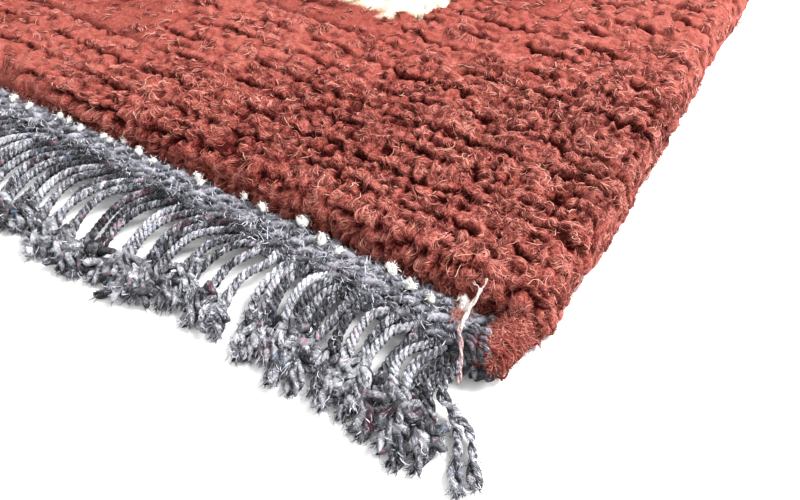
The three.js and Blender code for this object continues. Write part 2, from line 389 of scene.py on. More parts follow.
def shaded(finish, light, shades):
    """A colour from a lightness: the deep shade at 0, the middle one at a half, the light one at 1."""
    deep, middle, pale = (dyed(*shade) for shade in shades)
    lower, upper = (light * 2).kept(), (light * 2 - 1).kept()
    return finish.mixed(upper, finish.mixed(lower, deep, middle), pale)


def wool_finish(name, heads=0.6):
    """Wool: that lightness on the heads, darkened towards its deep colour by painted shade in the crevices,
    with streaks of combed fibre."""
    finish = Finish(name, 0.9, sheen=0.06, sheen_tint=dyed(225, 140, 125))
    near = finish.mark("near")
    fine = finish.noise(finish.place(), 1500.0, 3.0, 0.6)
    broad = finish.noise(finish.place(), 160.0, 2.0)
    patch = finish.noise(finish.place(), 24.0, 1.0)
    clump = finish.noise(finish.place(), 430.0, 2.0)
    light = heads - finish.mark("hollow") * (0.8 + near * 0.3) + (fine - 0.5) * (0.8 + near * 1.7)
    light = light + (clump - 0.5) * (0.7 + near * 0.8) + (broad - 0.5) * (0.3 + near * 0.2)
    light = light + (patch - 0.5) * 0.15 + finish.mark("tone") * 0.03
    colour = finish.mixed(finish.mark("cream"), shaded(finish, light, RUST), shaded(finish, light, CREAM))
    return finish.done(colour, fine * (0.4 + near * 0.3) + clump * 0.5, 0.0014)


def pile_block(s_from, s_to, t_from, t_to, step):
    """One closed block of pile over a rectangle of the skin, with points about step apart. A coarse block,
    which is too open to show the small shadows between tufts, is shaded by as much throughout."""
    across = np.linspace(s_from, s_to, round((s_to - s_from) / step) + 1)
    along = np.linspace(t_from, t_to, round((t_to - t_from) / step) + 1)
    points, _, hollow, *marks = pile_points(*np.meshgrid(across, along))
    if step == COARSE:
        hollow = np.minimum(hollow + COARSE_SHADE, 1)
    points, faces, rim = slab(points, 1.0)
    marks = (hollow, *marks)
    return points, faces, [np.concatenate([values.ravel(), values.ravel()[rim]]) for values in marks]


def pile_piece(name, blocks):
    """One piece of pile made of closed blocks side by side."""
    all_points, all_faces, all_marks, start = [], [], [], 0
    for block in blocks:
        points, faces, marks = pile_block(*block)
        all_points.append(points)
        all_faces += [group + start for group in faces]
        all_marks.append(marks)
        start += len(points)
    marks = dict(zip(("hollow", "tone", "cream", "near"), map(np.concatenate, zip(*all_marks))))
    return sewn(name, np.concatenate(all_points), all_faces, pile_wool, "pile_wool", "pile", **marks)


def row_edge(row):
    """Where a row of knots begins along the skin."""
    return row * ROW_PITCH - SKIN_ALONG


FINE, COARSE, COARSE_SHADE = 0.8, 4.6, 0.13
# The blocks step back from the photographed corner: the rows that each spans, and how far across it starts.
CORNER_STEPS = [(0, 8, 22.0), (8, 16, 104.0), (16, 24, 184.0), (24, 37, 236.0)]
pile_wool = wool_finish("pile_wool")
step_edges = [(start, row_edge(low), row_edge(high)) for low, high, start in CORNER_STEPS]
pile_pieces = [
    pile_piece("pile_corner", [(start, SKIN_ACROSS, low, high, FINE) for start, low, high in step_edges]),
    pile_piece("pile_front", [(-SKIN_ACROSS, start, low, high, COARSE) for start, low, high in step_edges]),
    pile_piece("pile_back", [(-SKIN_ACROSS, SKIN_ACROSS, step_edges[-1][2], SKIN_ALONG, COARSE)]),
]

# The wool's own fibres: fine wavy hairs that stand off the cut heads and tangle over the crevices. They are
# close where the rug is seen near to, and thin out smoothly towards the rest.
FIBRE_RUST = (60, 9, 7), (138, 65, 56), (206, 136, 123)
NEAR_LOCKS, REST_LOCKS = 11900, 700
NEAR_FROM_S, NEAR_TO_T = 16, -210
fibre_random = np.random.default_rng(21)


def taped(path, half):
    """A ribbon along each path (count, stations, 3): a pair of points a half width to each side of every
    station but the last, where it comes to a point. Gives points, faces, and each point's share of the way
    to the tip. Nothing reaches below the floor."""
    count, stations = path.shape[:2]
    rings = np.stack([path[:, :-1] - half, path[:, :-1] + half], 2).reshape(count, -1, 3)
    points = np.concatenate([rings, path[:, -1:]], 1).reshape(-1, 3)
    segments = stations - 1
    first = np.arange(count)[:, None] * (2 * segments + 1)
    ladder = np.arange(segments - 1) * 2
    quads = np.stack([ladder, ladder + 1, ladder + 3, ladder + 2], -1).reshape(1, -1, 4) + first[..., None]
    tips = np.array([[2 * segments - 2, 2 * segments - 1, 2 * segments]]) + first
    tip_share = np.concatenate([np.repeat(np.arange(segments) / segments, 2), [1.0]])
    points[:, 2] = np.maximum(points[:, 2], 0.1)
    return points, [quads.reshape(-1, 4), tips], np.tile(tip_share, count)


def fibre_piece(name, made, tone, finish, slot, node, cream=0.0):
    """A piece of ribbons as taped gives them. tone is one value for each ribbon or for each of their
    points."""
    points, faces, tip = made
    tone = np.repeat(tone, len(points) // len(tone))
    return sewn(name, points, faces, finish, slot, node, tip=tip, tone=tone, cream=cream + 0 * tone)


def ribbons(roots, aim, length, width, bend, twist, segments, tilt):
    """Fibres as narrow ribbons that taper to a point. Each starts along aim and turns away from it by bend
    radians over its length, in a plane that itself turns by twist radians. tilt is a vector that the
    ribbon's flat side is square to."""
    aim = aim / np.linalg.norm(aim, axis=1, keepdims=True)
    aside = np.cross(aim, tilt)
    aside /= np.linalg.norm(aside, axis=1, keepdims=True) + 1e-9
    third = np.cross(aim, aside)
    share = (np.arange(segments) + 0.5) / segments
    turn, roll = bend[:, None] * share, twist[:, None] * share
    plane = aside[:, None] * np.cos(roll)[..., None] + third[:, None] * np.sin(roll)[..., None]
    way = aim[:, None] * np.cos(turn)[..., None] + plane * np.sin(turn)[..., None]
    steps = way * (length / segments)[:, None, None]
    path = np.concatenate([roots[:, None], roots[:, None] + np.cumsum(steps, 1)], 1)
    flat = np.cross(way, tilt[:, None])
    flat /= np.linalg.norm(flat, axis=2, keepdims=True) + 1e-9
    taper = 1 - 0.55 * (np.arange(segments) / segments) ** 2
    return taped(path, flat * (width[:, None] * taper / 2)[..., None])


def along_ribbons(values):
    """Values at each station of each ribbon, (count, stations), as one value for each of the ribbons'
    points."""
    return np.concatenate([np.repeat(values[:, :-1], 2, 1), values[:, -1:]], 1).ravel()


def strewn(count, low, high, density):
    """Random places (s, t) over a rectangle, each kept with a chance of its density."""
    places = fibre_random.uniform(low, high, (count, 2))
    return places[fibre_random.random(count) < density(*places.T)]


def fibre_finish(name, shades, cream=None):
    """Wool or yarn fibre: each has its own tone, and pales towards its tip. Where cream shades are given,
    the cream mark turns a fibre to them."""
    finish = Finish(name, 0.75, sheen=0.05, sheen_tint=dyed(235, 160, 140))
    light = finish.mark("tone") + finish.mark("tip") * 0.2 - 0.04
    colour = shaded(finish, light, shades)
    if cream:
        colour = finish.mixed(finish.mark("cream"), colour, shaded(finish, light, cream))
    return finish.done(colour)


def wool_piece(name, places, each, length, width, segments):
    """Locks of wool from places (s, t), each of that many fibres laid side by side. A lock sets out a
    random way and bends at a steady rate in plan. A fibre keeps to its lock's course but for a little, at
    the height of the pile under it averaged with its neighbours, plus an arch. It takes its tone from its
    lock, and is darkened by painted shade in the hollows."""
    random = fibre_random
    lock = np.repeat(np.arange(len(places)), each)
    count, stations = len(lock), segments + 1
    share = np.linspace(0, 1, stations)
    way = (2.4 * drift(*places.T, 7.0, 11) + random.normal(0, 0.6, len(places)))[lock]
    way = way + random.normal(0, 0.2, count)
    bend = random.normal(0, 2.1, len(places))[lock] + random.normal(0, 0.4, count)
    long = length * random.uniform(0.6, 1.4, len(places))[lock] * random.uniform(0.7, 1.2, count)
    heading = way[:, None] + bend[:, None] * share
    step = (long / segments)[:, None]
    start = places[lock] + random.normal(0, 0.5, (count, 2))
    s = start[:, :1] + np.cumsum(np.sin(heading) * step, 1)
    t = start[:, 1:] - np.cumsum(np.cos(heading) * step, 1)
    path, normal, hollow, tone, cream, _ = pile_points(s, t)
    inner = path[:, 1:-1].copy()
    path[:, 1:-1] = np.maximum(inner, 0.5 * inner + 0.25 * (path[:, :-2] + path[:, 2:]))
    arch = 0.12 + random.uniform(0.1, 0.8, (count, 1)) * np.sin(math.pi * (0.15 + 0.75 * share))
    path = path + normal * arch[..., None]
    flat = np.cross(np.gradient(path, axis=1), normal + random.normal(0, 0.3, (count, 1, 3)))[:, :-1]
    flat /= np.linalg.norm(flat, axis=-1, keepdims=True) + 1e-9
    taper = (1 - 0.6 * share[:-1] ** 2) * width / 2
    made = taped(path, flat * taper[:, None] * random.uniform(0.6, 1.3, (count, 1, 1)))
    own_tone = random.normal(0.48, 0.19, len(places))[lock] + random.normal(0, 0.3, count)
    own_tone = own_tone + 0.02 * tone[:, 0]
    shade = along_ribbons(own_tone[:, None] - 0.8 * hollow)
    return fibre_piece(name, made, shade, wool_fibre, "pile_wool", "pile", along_ribbons(cream))


def near_density(s, t):
    """Locks are close in front of a line that slants across the corner. They thin out exponentially behind
    it, and where the wool isn't seen near to."""
    behind = np.maximum(t + 382 - (s - 28) * 0.585, 0)
    return (0.2 + 0.8 * seen_near(s, t)) * np.exp(-behind / 34)


wool_fibre = fibre_finish("wool_fibre", FIBRE_RUST, CREAM)
near_places = strewn(NEAR_LOCKS, (NEAR_FROM_S, -SKIN_ALONG), (SKIN_ACROSS, NEAR_TO_T), near_density)
hollow_there = tufted(*near_places.T)[1]
# Locks are thinned out where the painted shade of the crevices is deep.
near_places = near_places[fibre_random.random(len(near_places)) > 0.85 * eased(0.2, 0.6, hollow_there)]
near_places = near_places[np.argsort(np.hypot(near_places[:, 0] - EYE_X, near_places[:, 1] - EYE_Y))]
nearer_places, farther_places = np.array_split(near_places, 2)
wool_pieces = [
    wool_piece("wool_near", nearer_places, 12, 3.7, 0.19, 4),
    wool_piece("wool_far", farther_places, 12, 3.8, 0.26, 4),
]
rest_places = strewn(REST_LOCKS, (-SKIN_ACROSS, -SKIN_ALONG), (SKIN_ACROSS, SKIN_ALONG),
                     lambda s, t: (t > NEAR_TO_T) | (s < NEAR_FROM_S))
wool_pieces.append(wool_piece("wool_rest", rest_places, 6, 5.5, 0.5, 3))

# Stray hairs: pale guard hairs of the fleece that took little dye. They were combed loose as the pile was
# cut, and lie curled over it near the corner.
HAIR_PALE = (168, 86, 74), (198, 122, 106), (236, 196, 170)
HAIRS, HAIR_STATIONS, HIGHEST_HAIR = 260, 12, 19.5


def hair_piece():
    """Each hair runs over the pile on a plane curve whose bend drifts, a little above the tufts under it:
    its height is the pile's along the way, averaged with its neighbours."""
    random = fibre_random
    places = strewn(HAIRS * 9, (40, -SKIN_ALONG + 8), (SKIN_ACROSS - 8, -250), seen_near)[:HAIRS]
    count = len(places)
    length = random.uniform(3.0, 9, count) * np.where(random.random(count) < 0.08, 1.8, 1)
    share = np.linspace(0, 1, HAIR_STATIONS)
    heading = random.uniform(0, 2 * math.pi, (count, 1)) + random.normal(0, 1.8, (count, 1)) * share
    sway = random.normal(0, 0.9, (count, 1))
    heading = heading + sway * np.sin(7 * share + random.uniform(0, 6, (count, 1)))
    step = (length / HAIR_STATIONS)[:, None]
    s = places[:, :1] + np.cumsum(np.cos(heading) * step, 1)
    t = places[:, 1:] + np.cumsum(np.sin(heading) * step, 1)
    path = pile_points(s, t)[0]
    height = path[..., 2].copy()
    for _ in range(3):
        height = np.maximum(height, (np.roll(height, 1, 1) + np.roll(height, -1, 1)) / 2)
    arch = random.uniform(0, 1.0, (count, 1)) * np.sin(math.pi * share)
    path[..., 2] = np.minimum(height + 0.2 + arch, HIGHEST_HAIR)
    flat = np.cross(np.gradient(path, axis=1), (0, 0, 1))
    flat /= np.linalg.norm(flat, axis=-1, keepdims=True)
    half_width = random.uniform(0.05, 0.08, count)[:, None, None]
    made = taped(path, flat[:, :-1] * half_width)
    tone = random.uniform(0.0, 1.0, count) ** 1.5
    return fibre_piece("stray_hairs", made, tone, fibre_finish("hair_fibre", HAIR_PALE), "pile_wool", "pile")


wool_pieces.append(hair_piece())

# The selvedges: the outer warps at each side, wrapped close round and round with the rust wool so that the
# edge wears well. At each end the wrapping stops and the grey core shows.
SELVEDGE_END = 445.5
SELVEDGE_MIDDLE, SELVEDGE_LIFT = 288.6, 5.6
WRAP_HALF_WIDTH, WRAP_HALF_HEIGHT = 4.9, 4.6
WRAP_PITCH = 3.1


def tube(rings):
    """A closed tube round each run of rings, given as (runs, stations, corners, 3). The corners of a ring
    go round clockwise, seen along the tube."""
    runs, stations, corners = rings.shape[:3]
    start = np.arange(runs)[:, None, None] * stations * corners
    walls = (grid_faces(stations, corners, around=True)[None, :, ::-1] + start).reshape(-1, 4)
    ends = np.arange(corners)
    last_ring = start[:, 0] + (stations - 1) * corners
    caps = np.concatenate([ends[None] + start[:, 0], ends[None, ::-1] + last_ring])
    return rings.reshape(-1, 3), [walls, caps]


def selvedge_piece(name, side, stations):
    """A wrapped edge: a rounded section (an ellipse with its corners pushed out) along the side, its radius
    risen along slanted turns of wool as the size of a sine of the share of a turn."""
    along = np.linspace(-SELVEDGE_END, SELVEDGE_END, stations)[:, None]
    corner = np.linspace(0, 2 * math.pi, 18, endpoint=False)[None]
    turn = along / WRAP_PITCH * math.pi + 0.5 * corner * side + 1.3 * drift(along, corner, 9, 31)
    bulge = 1 + 0.24 * np.abs(np.sin(turn)) + 0.14 * drift(along, corner * 3, 5, 32)
    bulge *= np.sqrt(np.clip((SELVEDGE_END + 2 - np.abs(along)) / 6, 0, 1)) * 0.88
    wide = WRAP_HALF_WIDTH * np.sign(np.cos(corner)) * np.abs(np.cos(corner)) ** 0.75
    tall = WRAP_HALF_HEIGHT * np.sign(np.sin(corner)) * np.abs(np.sin(corner)) ** 0.75
    x = side * SELVEDGE_MIDDLE + side * wide * bulge
    y = along * (1 - 0.008 * (1 - np.cos(corner)) * eased(SELVEDGE_END - 30, SELVEDGE_END, np.abs(along)))
    z = np.maximum(SELVEDGE_LIFT * np.minimum(1, 0.35 + bulge * 0.65) + tall * bulge, 0.05)
    rings = np.stack([laid(x, y), y, z], -1)[None]
    if side < 0:
        rings = rings[:, :, ::-1]
    points, faces = tube(rings)
    # Painted shade: darker in the grooves between the turns of wool.
    hollow = (0.9 - np.abs(np.sin(turn)) ** 0.5 + 0 * corner).ravel()
    plain = np.zeros(len(points))
    return sewn(name + "_wrapping", points, faces, selvedge_wool, "selvedge_wool", name, hollow=hollow,
                tone=plain, cream=plain, near=plain + 1)


def selvedge_fuzz(name, side, *ends):
    """Loose wool round the last turns of the wrapping. Each end is given as its count of fibres, and as
    less than nothing for the front. A fibre starts on the wrapping's section, at a random angle, and lies
    round it."""
    random = fibre_random
    end = np.repeat(np.sign(ends), np.abs(ends))
    count = len(end)
    spin = random.uniform(-1.2, 3.6, count)
    back = random.uniform(0, 1, count) ** 1.5 * 24 - 1.6
    outward = np.stack([side * np.cos(spin), 0 * spin, np.sin(spin)], -1)
    y = end * (SELVEDGE_END - back)
    close = np.sqrt(np.clip((back + 2) / 5, 0, 1)) * random.uniform(1.0, 1.26, count)
    x = laid(side * (SELVEDGE_MIDDLE + WRAP_HALF_WIDTH * close * np.cos(spin)), y)
    z = np.maximum(SELVEDGE_LIFT + WRAP_HALF_HEIGHT * close * np.sin(spin), 0.3)
    around = np.stack([-side * np.sin(spin), 0.5 * end * random.normal(0.4, 1, count), np.cos(spin)], -1)
    aim = around * random.choice([-1, 1], (count, 1)) + outward * random.uniform(0.0, 0.12, (count, 1))
    length, width = random.uniform(1.8, 4.2, count), random.uniform(0.14, 0.26, count)
    bend, twist = random.normal(0, 2.2, count), random.normal(0, 1.5, count)
    made = ribbons(np.stack([x, y, z], -1), aim, length, width, bend, twist, 4, outward)
    # Painted shade: fibres low down, near the floor, are darker.
    tone = random.normal(0.5, 0.26, count) - 0.25 * (z < 4)
    return fibre_piece(name + "_fuzz", made, tone, wool_fibre, "selvedge_wool", name)


selvedge_wool = wool_finish("selvedge_wool", 0.52)
selvedge_pieces = [
    selvedge_piece("selvedge_right", 1, 500), selvedge_piece("selvedge_left", -1, 300),
    selvedge_fuzz("selvedge_right", 1, -3900, 240), selvedge_fuzz("selvedge_left", -1, -240, 240),
]

# The fringe: the warps' ends, a thick yarn spun from grey, charcoal and pale wool with bright specks. They
# fall from the plaited ridge to the floor in clumps, with painted shade where they leave it, and end in
# loose fluffy tips.
STRANDS, STRAND_PITCH, STRIP_END, STRAND_REACH = 118, 4.85, 444.46, 35.0
STRAND_THICKNESS, STRAND_TWIST, STRAND_LOOSE, ROOT_SHADE = 3.3, 5.4, 0.26, 0.35
FINE_FROM, TRACED_FROM = 48, 100
COURSE_OUT = np.array([-0.12, 0.0, 0.16, 0.38, 0.66, 1.0])
COURSE_LEAN = np.array([0.6, 0.2, -0.6, -1.0, -0.9, -0.2])
COURSE_RISE = np.array([5.8, 7.7, 7.1, 5.4, 2.9, 2.4])
YARN_GREY = (6, 7, 10), (100, 100, 108), (232, 232, 241)
YARN_PINK, YARN_BLUE, YARN_WINE = (196, 112, 140), (100, 138, 176), (110, 44, 62)
yarn_random = np.random.default_rng(33)


def scattered(number, salt):
    """A fixed random value from -1 to 1 for each number: the fraction of a large sine."""
    value = np.sin(number * 127.1 + salt * 311.7) * 43758.5453
    return 2 * (value - np.floor(value)) - 1


def flowing(knots, values, at):
    """A smooth run through values at knots: between two knots a cubic that meets both with the slope
    there."""
    slopes = np.gradient(values, knots)
    i = np.clip(np.searchsorted(knots, at) - 1, 0, len(knots) - 2)
    width = knots[i + 1] - knots[i]
    f = (at - knots[i]) / width
    ends = (1 + 2 * f) * (1 - f) ** 2 * values[i] + f * f * (3 - 2 * f) * values[i + 1]
    return ends + width * f * (1 - f) * ((1 - f) * slopes[i] - f * slopes[i + 1])


def strand_courses(strands, end, stations):
    """The middle lines of strands, (strands, stations, 3). Each leaves the ridge, drops to the floor and
    leans aside by the shared course, drawn in to its clump; its last part turns round on itself by its own
    angle. At the side of the rug they swing outward on smooth steps."""
    out = np.linspace(COURSE_OUT[0], 1, stations)[None]
    k = strands[:, None].astype(float)
    salt = 10 if end < 0 else 20
    loose = np.maximum(out, 0)
    reach = STRAND_REACH * (1 + 0.07 * scattered(k, salt))
    root = (k - (STRANDS - 1) / 2) * STRAND_PITCH
    swing = 8 * eased((STRANDS - 5) * 0.98, STRANDS - 1.5, k) + 5 * eased(STRANDS - 12, STRANDS - 5, k)
    lean = 4.2 + 2.4 * scattered(np.floor(k / 4), salt + 7) + 1.7 * scattered(k, salt + 8)
    lean = lean + 5 * (1 - eased(90, 170, root))
    sway = 1.6 * scattered(np.floor(k / 5), salt + 2) + 2.6 * scattered(k, salt + 3) * loose
    x = root + lean * flowing(COURSE_OUT, COURSE_LEAN, out) * eased(-2, 5, k) - 0.6 * (k % 4 - 1.5) * loose
    x = x + sway * np.minimum(1, 2 * loose) + swing * loose
    x = x + 0.5 * np.sin(9 * out + 5 * scattered(k, salt + 4)) * loose
    y = end * (STRIP_END + out * reach)
    lift = 1.3 * np.maximum(scattered(k, salt + 5), -0.3) * eased(0.1, 0.6, out)
    rise = flowing(COURSE_OUT, COURSE_RISE, out) + lift
    courses = np.stack([laid(x, y), y + 0 * k, rise + 0 * k], -1)
    across, along = np.moveaxis(np.diff(courses, axis=1)[..., :2], -1, 0)
    curl = 0.8 * scattered(k, salt + 6) * eased(0.6, 1.0, out[:, 1:])
    turned_across = across * np.cos(curl) - along * np.sin(curl)
    turned_along = across * np.sin(curl) + along * np.cos(curl)
    turned = np.stack([turned_across, turned_along], -1)
    courses[:, 1:, :2] = courses[:, :1, :2] + np.cumsum(turned, 1)
    return courses


def plied(courses, thickness, twist, sides, loose=0.0, plies=3, blunt=3.0):
    """A twisted yarn along each course: its plies wind round the course once in every length twist, each a
    tube. Where the yarn's far end is loose, the twist slackens there and the plies part by that share of
    the thickness and swell. Every tube closes to a point at both ends, over more stations the more blunt it
    is. Gives the rings (runs, stations, sides, 3) and, for the colours, the way along and round each, and
    the painted shade on each point: in the grooves between the plies, or underneath."""
    count, stations = courses.shape[:2]
    tangent = np.gradient(courses, axis=1)
    length = np.linalg.norm(tangent, axis=-1, keepdims=True)
    tangent = tangent / length
    aside = np.cross(tangent, (0, 0, 1))
    aside /= np.linalg.norm(aside, axis=-1, keepdims=True)
    above = np.cross(aside, tangent)
    share = np.linspace(0, 1, stations)[None, :, None]
    far = np.cumsum(length[..., 0], 1)[..., None]
    slack = eased(0.58, 0.82, share) * (loose > 0)
    number = np.arange(count)[:, None, None]
    ply = np.arange(plies)[None, None] * 2 * math.pi / plies
    wound = np.cumsum(length / (twist * (1 + 1.6 * slack)), 1) * 2 * math.pi + ply + number * 1.7
    apart = (thickness * (0.2 + loose * slack * (1 + 0.6 * scattered(number, 71))))[..., None]
    swirl = np.cos(wound)[..., None] * aside[:, :, None] + np.sin(wound)[..., None] * above[:, :, None]
    middle = courses[:, :, None] + apart * swirl
    end = np.sqrt(np.clip(np.minimum(share, 1 - share) * stations / blunt + 0.03, 0, 1))
    lump = 1 + 0.12 * drift(far + number * 37, ply * 9, 3.0, 72)
    lump = lump + slack * (1.6 * loose + 0.3 * drift(far + number * 53, ply * 9, 2.2, 74))
    radius = (0.3 * thickness * end * lump)[..., None]
    corner = np.linspace(0, 2 * math.pi, sides, endpoint=False)
    ring = np.cos(corner)[:, None] * aside[:, :, None, None]
    ring = ring + np.sin(corner)[:, None] * above[:, :, None, None]
    rings = middle[..., None, :] + radius[..., None] * ring
    own_depth = number[..., None] * 31.0 + ply[..., None] * 7
    grain = np.broadcast_arrays(far[..., None] * 0.45, (corner - wound[..., None]) * radius, own_depth)
    reach = apart + radius + 1e-6
    outward = np.linalg.norm(rings - courses[:, :, None, None], axis=-1) / reach
    under = np.clip((courses[..., 2][:, :, None, None] - rings[..., 2]) / reach, 0, 1)
    # Painted shade: the grooves between the plies and the undersides are darkened.
    painted_yarn_shade = np.maximum(0.3 * (1 - eased(0.5, 0.98, outward)), under)
    shape = (count * plies, stations, sides)
    rings, grain = (np.moveaxis(kept, 2, 1).reshape(*shape, 3) for kept in (rings, np.stack(grain, -1)))
    return rings, grain, np.moveaxis(painted_yarn_shade, 2, 1).reshape(shape)


def yarn_finish(name, shades, flecked=2.9, lumpy=0.0, nubs=0.75):
    """Tweed yarn: flecks of its three shades drawn out along the twist, wine-red cloudings, and here and
    there a pink or blue nub. Painted shade, kept on its points, darkens it."""
    finish = Finish(name, 0.9, sheen=0.1)
    fleck = finish.noise(finish.mark("grain", "Vector"), 2.8, 3.0, 0.6)
    broad = finish.noise(finish.place(), 90.0, 2.0)
    fine = finish.noise(finish.place(), 1300.0, 2.0, 0.6)
    light = 0.64 + (fleck - 0.5) * flecked + (fine - 0.5) * 0.9 + (broad - 0.5) * 1.1
    light = light + finish.mark("tone") * 0.17 - finish.mark("hollow") * 1.3
    if lumpy:
        light = light + (finish.noise(finish.place(), 330.0, 2.0) - 0.5) * lumpy
    wine = finish.noise(finish.place((-1, 1, 1)), 110.0, 1.0)
    pink = finish.noise(finish.place(), 330.0, 1.0)
    blue = finish.noise(finish.place((1, -1, 1)), 300.0, 1.0)
    colour = shaded(finish, light, shades)
    colour = finish.mixed(finish.between(wine, 0.6, 0.78) * nubs * 0.7, colour, dyed(*YARN_WINE))
    colour = finish.mixed(finish.between(pink, 0.67, 0.8) * nubs, colour, dyed(*YARN_PINK))
    colour = finish.mixed(finish.between(blue, 0.69, 0.82) * nubs, colour, dyed(*YARN_BLUE))
    return finish.done(colour, fleck + fine, 0.0009)


def yarn_piece(name, node, slot, courses, thickness, twist, sides, finish, loose=0.0, plies=3, tone=0.0,
               blunt=3.0, shaded_root=0.0):
    """Yarns along courses as one piece. Each ply has its own tone round its yarn's, which tone moves, as
    one value for all or one for each yarn. Painted shade darkens the grooves and undersides, and
    shaded_root lays more painted shade on the first fifth of each. Nothing reaches below the floor."""
    rings, grain, painted_yarn_shade = plied(courses, thickness, twist, sides, loose, plies, blunt)
    painted_yarn_shade = painted_yarn_shade + shaded_root * (1 - eased(0.07, 0.22, np.linspace(0, 1, courses.shape[1])))[:, None]
    rings[..., 2] = np.maximum(rings[..., 2], 0.05)
    points, faces = tube(rings)
    own = scattered(np.arange(len(courses)), 41) + tone
    own = own[:, None] + 1.2 * scattered(np.arange(len(courses) * plies), 42).reshape(-1, plies)
    return sewn(name, points, faces, finish, slot, node, grain=grain.reshape(-1, 3), hollow=painted_yarn_shade.ravel(),
                tone=np.repeat(own.ravel(), courses.shape[1] * sides))


def fringe_piece(name, end, strands, stations, sides, twist):
    """Strands of one end as one piece, some pale and some dark."""
    node = "fringe_front" if end < 0 else "fringe_back"
    courses = strand_courses(strands, end, stations)
    return yarn_piece(name, node, "fringe_yarn", courses, STRAND_THICKNESS, twist, sides, fringe_yarn,
                      loose=STRAND_LOOSE, tone=1.5 * scattered(strands, 44),
                      shaded_root=ROOT_SHADE)


def strand_fuzz(name, node, courses, each, tips=0, brush=0):
    """Fibres over the strands, lying along them, a fluff of longer ones over the last part, where the yarn
    is slack, and a brush of them that stands out past the very end. Those near the floor are darkened as
    painted shade."""
    random = yarn_random
    stations = courses.shape[1]
    way = np.gradient(courses, axis=1)
    way /= np.linalg.norm(way, axis=-1, keepdims=True)
    slack_from = stations * 3 // 5
    station = np.concatenate([random.integers(3, stations - 2, (len(courses), each)),
                              random.integers(slack_from, stations - 3, (len(courses), tips)),
                              random.integers(stations - 4, stations - 1, (len(courses), brush))], 1).ravel()
    pick = np.repeat(np.arange(len(courses)), each + tips + brush), station
    along = way[pick]
    count = len(along)
    spin = random.uniform(0, 2 * math.pi, (count, 1))
    aside = np.cross(along, (0, 0, 1))
    aside /= np.linalg.norm(aside, axis=1, keepdims=True)
    outward = aside * np.cos(spin) + np.cross(aside, along) * np.sin(spin)
    tip = (station >= slack_from)[:, None]
    roots = courses[pick] + outward * random.uniform(0.5, 1.4, (count, 1)) * np.where(tip, 1.7, 1.0)
    aim = along * np.where(tip, 1, random.choice([-1, 1], (count, 1)))
    aim = aim + outward * random.uniform(0.02, 0.35, (count, 1)) + random.normal(0, 0.25, (count, 3))
    length = random.uniform(1.0, 2.8, count) + 0.8 * (station >= stations - 4)
    bend = random.normal(0, 1.3, count) * np.where(tip[:, 0], 1.6, 1)
    width, twist = random.uniform(0.14, 0.26, count), random.normal(0, 1.5, count)
    made = ribbons(roots, aim, length, width, bend, twist, 3, outward)
    tone = random.normal(0.54, 0.22, count) - 0.35 * (1 - eased(1.5, 5, roots[:, 2]))
    return fibre_piece(name, made, tone, yarn_fibre, "fringe_yarn", node)


fringe_yarn = yarn_finish("fringe_yarn", YARN_GREY, flecked=2.4, lumpy=1.2)
yarn_fibre = fibre_finish("yarn_fibre", YARN_GREY)
corner_strands = np.arange(FINE_FROM, TRACED_FROM)
front_strands, back_strands = np.arange(FINE_FROM), np.arange(STRANDS)
corner_courses = strand_courses(corner_strands, -1, 46)
front_courses, back_courses = strand_courses(front_strands, -1, 24), strand_courses(back_strands, 1, 24)
fringe_pieces = [
    fringe_piece("strands_corner", -1, corner_strands, 64, 4, STRAND_TWIST),
    fringe_piece("strands_front", -1, front_strands, 16, 3, 2 * STRAND_TWIST),
    fringe_piece("strands_back", 1, back_strands, 14, 3, 2 * STRAND_TWIST),
    strand_fuzz("tips_corner", "fringe_front", corner_courses, 52, 52, 32),
    strand_fuzz("tips_front", "fringe_front", front_courses, 8, 18),
    strand_fuzz("tips_back", "fringe_back", back_courses, 8, 18),
]

# The ends of the strands: past the cut the yarn's singles spring apart, and each ends in a soft swollen
# lock of unspun wool.
CURL_LENGTH, CURL_THICKNESS = 9.0, 4.4


def curl_courses(courses, each, stations):
    """Locks at the ends of strands. Each starts on the strand's last half, sets off near the strand's own
    way and bends at a steady rate in plan, while its height is an arch above the floor. Its stations close
    up towards its end by the sine, so that the end is round."""
    random, length = yarn_random, courses.shape[1]
    stem = random.integers(round(0.66 * length), round(0.88 * length), (len(courses), each))
    strand = np.arange(len(courses))[:, None] + 0 * stem
    root = courses[strand, stem].reshape(-1, 3)
    way = np.gradient(courses, axis=1)[strand, stem].reshape(-1, 3)
    count = len(root)
    u = np.sin(np.linspace(0, math.pi / 2, stations))[None]
    heading = (np.arctan2(way[:, 1], way[:, 0]) + random.normal(0, 0.35, count))[:, None]
    heading = heading + random.normal(0, 1.5, (count, 1)) * u
    step = CURL_LENGTH * random.uniform(0.55, 1.15, (count, 1)) * np.diff(u, prepend=0)
    x = root[:, :1] + np.cumsum(np.cos(heading) * step, 1)
    y = root[:, 1:2] + np.cumsum(np.sin(heading) * step, 1)
    z = root[:, 2:] * (1 - u) + 1.6 * u + random.uniform(-0.3, 3.0, (count, 1)) * np.sin(math.pi * u)
    return np.stack([x, y, z], -1)


def curl_pieces(name, node, courses, each, stations, sides, fibres=0):
    """Locks at the ends of the strands as one piece, some pale and some dark, and blunt at their tips, and
    their own short fibres over them as another."""
    curls = curl_courses(courses, each, stations)
    tone = 1.5 * scattered(np.arange(len(curls)), 43)
    made = [yarn_piece(name, node, "fringe_yarn", curls, CURL_THICKNESS, 9.0, sides, fringe_yarn, plies=1,
                       tone=tone, blunt=1.6)]
    if fibres:
        made.append(strand_fuzz(name + "_nap", node, curls, fibres))
    return made


fringe_pieces += [
    *curl_pieces("curls_corner", "fringe_front", corner_courses, 6, 9, 5, fibres=18),
    *curl_pieces("curls_front", "fringe_front", front_courses, 2, 7, 4),
    *curl_pieces("curls_back", "fringe_back", back_courses, 2, 7, 4),
]

